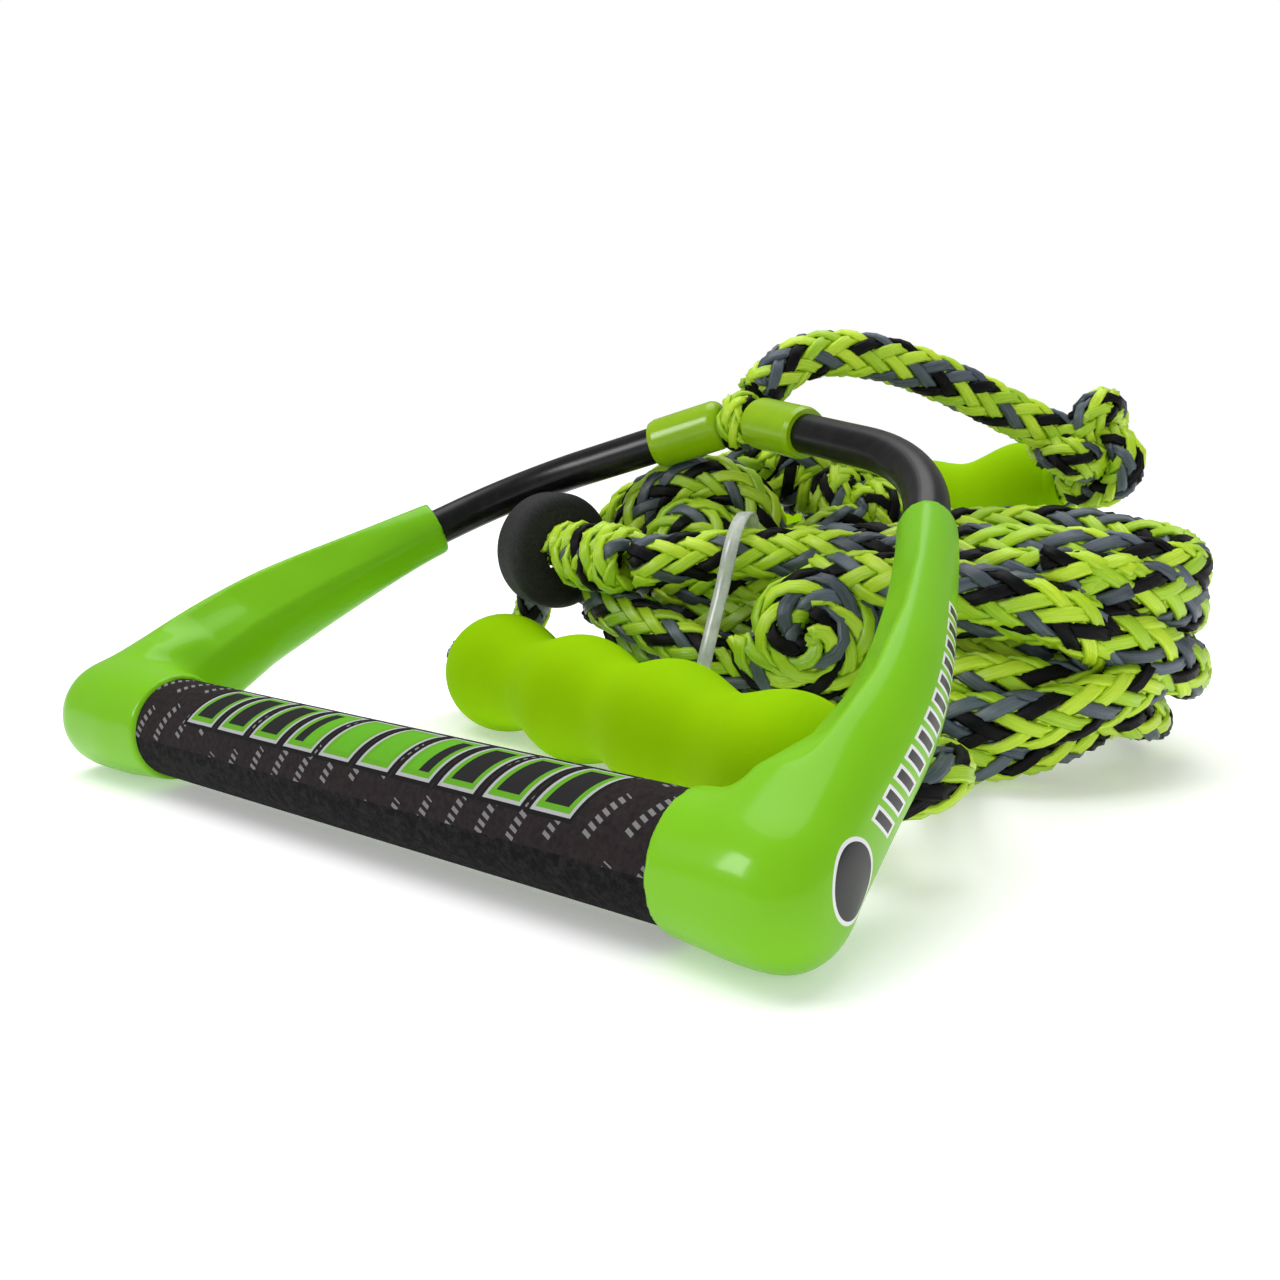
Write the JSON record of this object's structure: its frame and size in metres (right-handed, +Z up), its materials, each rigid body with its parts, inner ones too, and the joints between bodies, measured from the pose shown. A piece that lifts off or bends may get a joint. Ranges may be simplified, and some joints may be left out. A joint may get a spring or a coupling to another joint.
{
  "type": "tow rope handle",
  "caption": "Straight grip bar between sloping end mouldings, with a tubed rope bridle meeting at an apex and a braided line bundled behind with foam floats.",
  "frame": {"origin": "centre of the handle's own footprint, on the surface that its end mouldings and the bundle lie on", "axes": "+X along the grip bar, +Y from the bar towards the bridle's apex, +Z up"},
  "size_m": [0.3121, 0.384, 0.1418],
  "materials": {
    "lime_moulding": "smooth glossy moulded plastic",
    "olive_lime_sleeve": "glossy vinyl sleeve",
    "black_tube": "semi-gloss black vinyl tube",
    "aluminium_bar": "drawn tube, hidden under the grip",
    "closed_cell_foam": "closed-cell foam",
    "black_rubber": "moulded rubber",
    "clear_plastic": "translucent plastic",
    "grip_charcoal_fabric": null,
    "grip_black_fabric": "rough black grip fabric",
    "bridle_cord": "braided polyethylene cord",
    "braided_rope": "chunky braid of lime, slate grey and black flat strands",
    "lime_float_foam": "matte skinned foam",
    "black_foam": "matte black foam"
  },
  "bodies": {
    "line": {"line_eye": "braided_rope", "tail_rope": "braided_rope", "ball_knot": "braided_rope", "front_float_rope": "braided_rope", "near_link_rope": "braided_rope", "far_link_rope": "braided_rope", "back_float_rope": "braided_rope", "knot_link_rope": "braided_rope", "back_float_knot": "braided_rope", "front_donut_rope": "braided_rope", "front_barrel_knot": "braided_rope", "back_donut_rope": "braided_rope", "back_barrel_knot": "braided_rope", "bundle_base": "braided_rope", "bundle_crown": "braided_rope", "knot_pile": "braided_rope", "rear_coil": "braided_rope", "boat_loop": "braided_rope", "tie_band": "clear_plastic"},
    "handle": {"bar_tube": "aluminium_bar", "bar_foam_core": "closed_cell_foam", "left_bar_bung": "black_rubber", "right_bar_bung": "black_rubber", "bridle_splice": "clear_plastic", "grip_foam": "closed_cell_foam", "grip_under_panel": "grip_black_fabric", "grip_top_panel": "grip_charcoal_fabric", "left_end_moulding": "lime_moulding", "right_end_moulding": "lime_moulding", "left_bridle_tube": "black_tube", "right_bridle_tube": "black_tube", "left_apex_sleeve": "olive_lime_sleeve", "right_apex_sleeve": "olive_lime_sleeve", "bridle_rope": "bridle_cord"},
    "front_float": {"front_float": "lime_float_foam"},
    "back_float": {"back_float": "lime_float_foam"},
    "front_donut": {"front_donut": "black_foam"},
    "back_donut": {"back_donut": "black_foam"}
  },
  "joints": [
    {"name": "handle_swing", "type": "hinge", "parent": "line", "child": "handle", "pos_m": [0, 0.08808, 0.1103], "axis": [-1, 0, 0], "range_deg": [0, 110]},
    {"name": "front_float_spin", "type": "hinge", "parent": "line", "child": "front_float", "pos_m": [0.011, 0.01087, 0.0214], "axis": [0.9499, -0.3125, 0], "continuous": true},
    {"name": "back_float_spin", "type": "hinge", "parent": "line", "child": "back_float", "pos_m": [-0.036, 0.25257, 0.068], "axis": [0.9719, -0.1663, 0.1663], "continuous": true},
    {"name": "front_donut_spin", "type": "hinge", "parent": "line", "child": "front_donut", "pos_m": [-0.062, 0.05858, 0.064], "axis": [0.958, -0.2867, 0], "continuous": true},
    {"name": "back_donut_spin", "type": "hinge", "parent": "line", "child": "back_donut", "pos_m": [0.015, 0.14358, 0.077], "axis": [0.751, 0.5007, -0.4306], "continuous": true}
  ]
}
